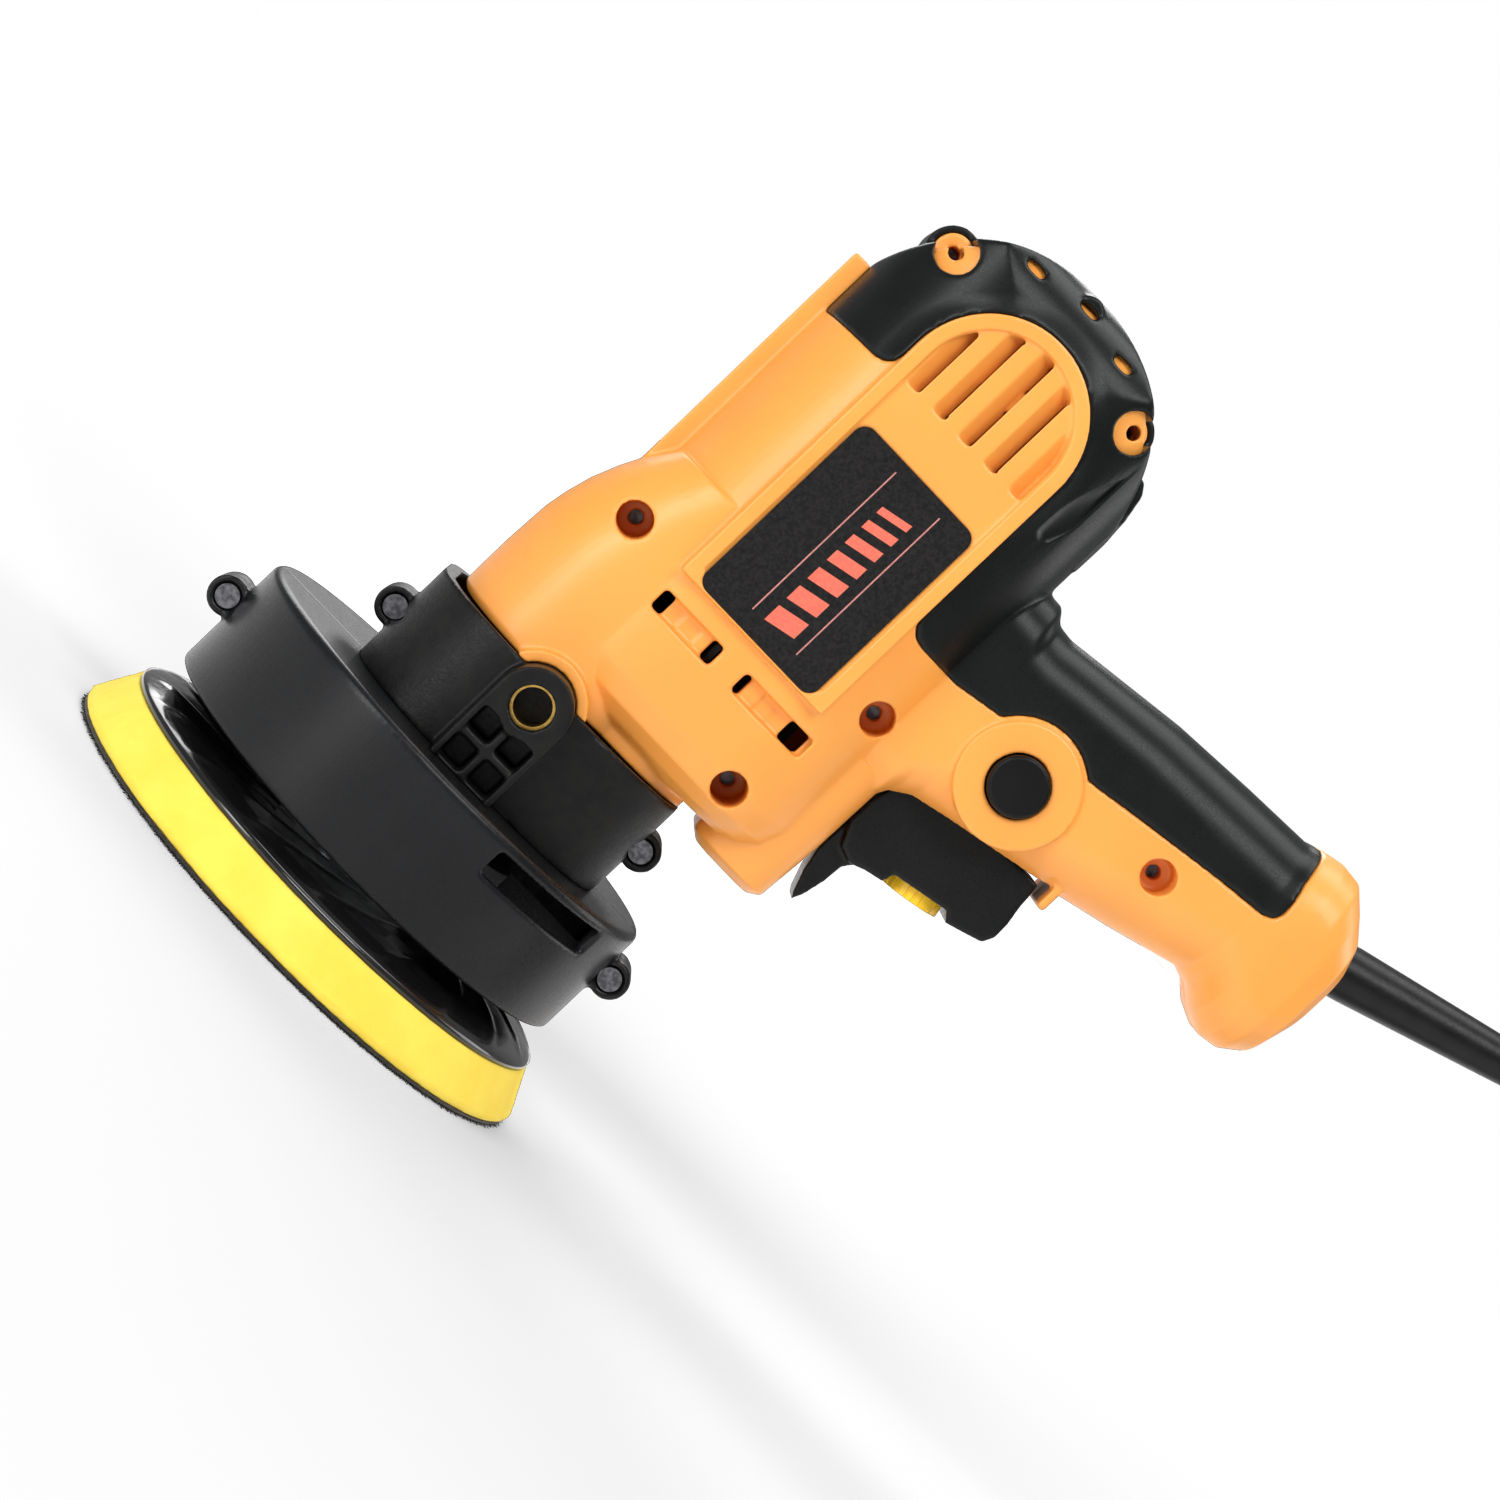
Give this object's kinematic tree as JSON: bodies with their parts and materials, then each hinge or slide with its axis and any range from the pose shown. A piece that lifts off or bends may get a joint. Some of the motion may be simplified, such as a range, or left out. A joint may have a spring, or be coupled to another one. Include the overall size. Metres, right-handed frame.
{
  "type": "rotary polisher",
  "caption": "Pistol-grip corded car polisher with a round foam-backed pad under a drum guard, side motor vents, trigger with speed dial and lock button.",
  "frame": {"origin": "centre of the pad's polishing face, on the drive spindle's axis", "axes": "+Z along the spindle from the pad up through the motor, +X towards the grip, -Y the tool's left side"},
  "size_m": [0.367, 0.125, 0.2074],
  "materials": {
    "body_orange": "moulded satin plastic, very fine texture",
    "soft_black": "satin soft-touch overmould",
    "drum_black": "smooth satin moulded plastic",
    "neck_black": "fine-grained matt moulded plastic",
    "label_black": "grained black plate with plain salmon stripes",
    "foam_yellow": "closed-cell polyurethane foam",
    "hook_black": "hook side of hook-and-loop tape",
    "plate_black": "glossy moulded plastic",
    "dial_yellow": "moulded plastic, ribbed rim",
    "trigger_black": "fine-grained moulded plastic",
    "button_black": "smooth moulded plastic",
    "steel": "ground steel",
    "screw_steel": "blackened steel",
    "brass": "machined brass",
    "cast_aluminium": "die-cast aluminium",
    "weight_iron": "cast iron balance weight",
    "laminations": "stacked electrical steel",
    "copper": "enamelled copper wire",
    "carbon": "pressed carbon",
    "fan_plastic": "moulded glass-filled plastic",
    "switch_plastic": "moulded plastic",
    "cord_black": "satin rubber sheath"
  },
  "bodies": {
    "housing": {"lower_spindle_bearing": "steel", "upper_spindle_bearing": "steel", "stator_core": "laminations", "field_coils": "copper", "front_motor_bearing": "steel", "rear_motor_bearing": "steel", "bearing_plate": "cast_aluminium", "left_housing": "body_orange", "right_housing": "body_orange", "left_grip_cover": "soft_black", "right_grip_cover": "soft_black", "left_label": "label_black", "right_label": "label_black", "case_screws": "screw_steel", "rear_screws": "screw_steel", "left_gear_neck": "neck_black", "right_gear_neck": "neck_black", "handle_inserts": "brass", "left_drum": "drum_black", "right_drum": "drum_black", "lug_screws": "screw_steel", "trigger_spring": "steel", "lock_spring": "steel", "power_switch": "switch_plastic", "capacitor": "switch_plastic", "left_brush": "carbon", "left_brush_holder": "brass", "right_brush": "carbon", "right_brush_holder": "brass", "strain_relief": "cord_black", "inner_cord": "cord_black", "cord_clamp": "switch_plastic", "clamp_screws": "screw_steel", "switch_leads": "cord_black", "power_cord": "cord_black", "plug_tail": "cord_black", "cord_coil": "cord_black", "plug_body": "cord_black", "plug_pins": "brass"},
    "rotor": {"eccentric_hub": "cast_aluminium", "counterweight": "weight_iron", "weight_screws": "screw_steel", "spindle": "steel", "driven_gear": "steel", "pad_bearing": "steel"},
    "pad": {"hook_face": "hook_black", "foam_pad": "foam_yellow", "backing_plate": "plate_black", "pad_spindle": "steel", "pad_stud": "steel", "pad_circlip": "screw_steel"},
    "armature": {"pinion": "steel", "armature_shaft": "steel", "armature_core": "laminations", "armature_windings": "copper", "commutator": "copper", "cooling_fan": "fan_plastic"},
    "trigger": {"trigger": "trigger_black"},
    "speed_dial": {"speed_dial": "dial_yellow"},
    "lock_button": {"lock_button": "button_black"}
  },
  "joints": [
    {"name": "spindle_spin", "type": "hinge", "parent": "housing", "child": "rotor", "pos_m": [0, 0, 0.05], "axis": [0, 0, 1], "continuous": true},
    {"name": "pad_spin", "type": "hinge", "parent": "rotor", "child": "pad", "pos_m": [0, -0.004, 0.02], "axis": [0, 0, 1], "continuous": true},
    {"name": "motor_spin", "type": "hinge", "parent": "housing", "child": "armature", "pos_m": [0.0235, 0, 0.1], "axis": [0, 0, 1], "continuous": true},
    {"name": "trigger_press", "type": "slide", "parent": "housing", "child": "trigger", "axis": [0, 0, 1], "range_m": [0, 0.006], "stiffness_N_per_m": 500, "springref_m": -0.003, "deforming": ["trigger_spring"]},
    {"name": "speed_dial_turn", "type": "hinge", "parent": "trigger", "child": "speed_dial", "pos_m": [0.0876, 0, 0.0943], "axis": [-0.1908, 0, 0.9816], "range_deg": [-135, 135]},
    {"name": "lock_button_press", "type": "slide", "parent": "housing", "child": "lock_button", "axis": [0, 1, 0], "range_m": [0, 0.003], "stiffness_N_per_m": 300, "springref_m": -0.002, "deforming": ["lock_spring"]}
  ],
  "couplings": [
    {"joint": "motor_spin", "follows": "spindle_spin", "ratio": -4.2222}
  ]
}
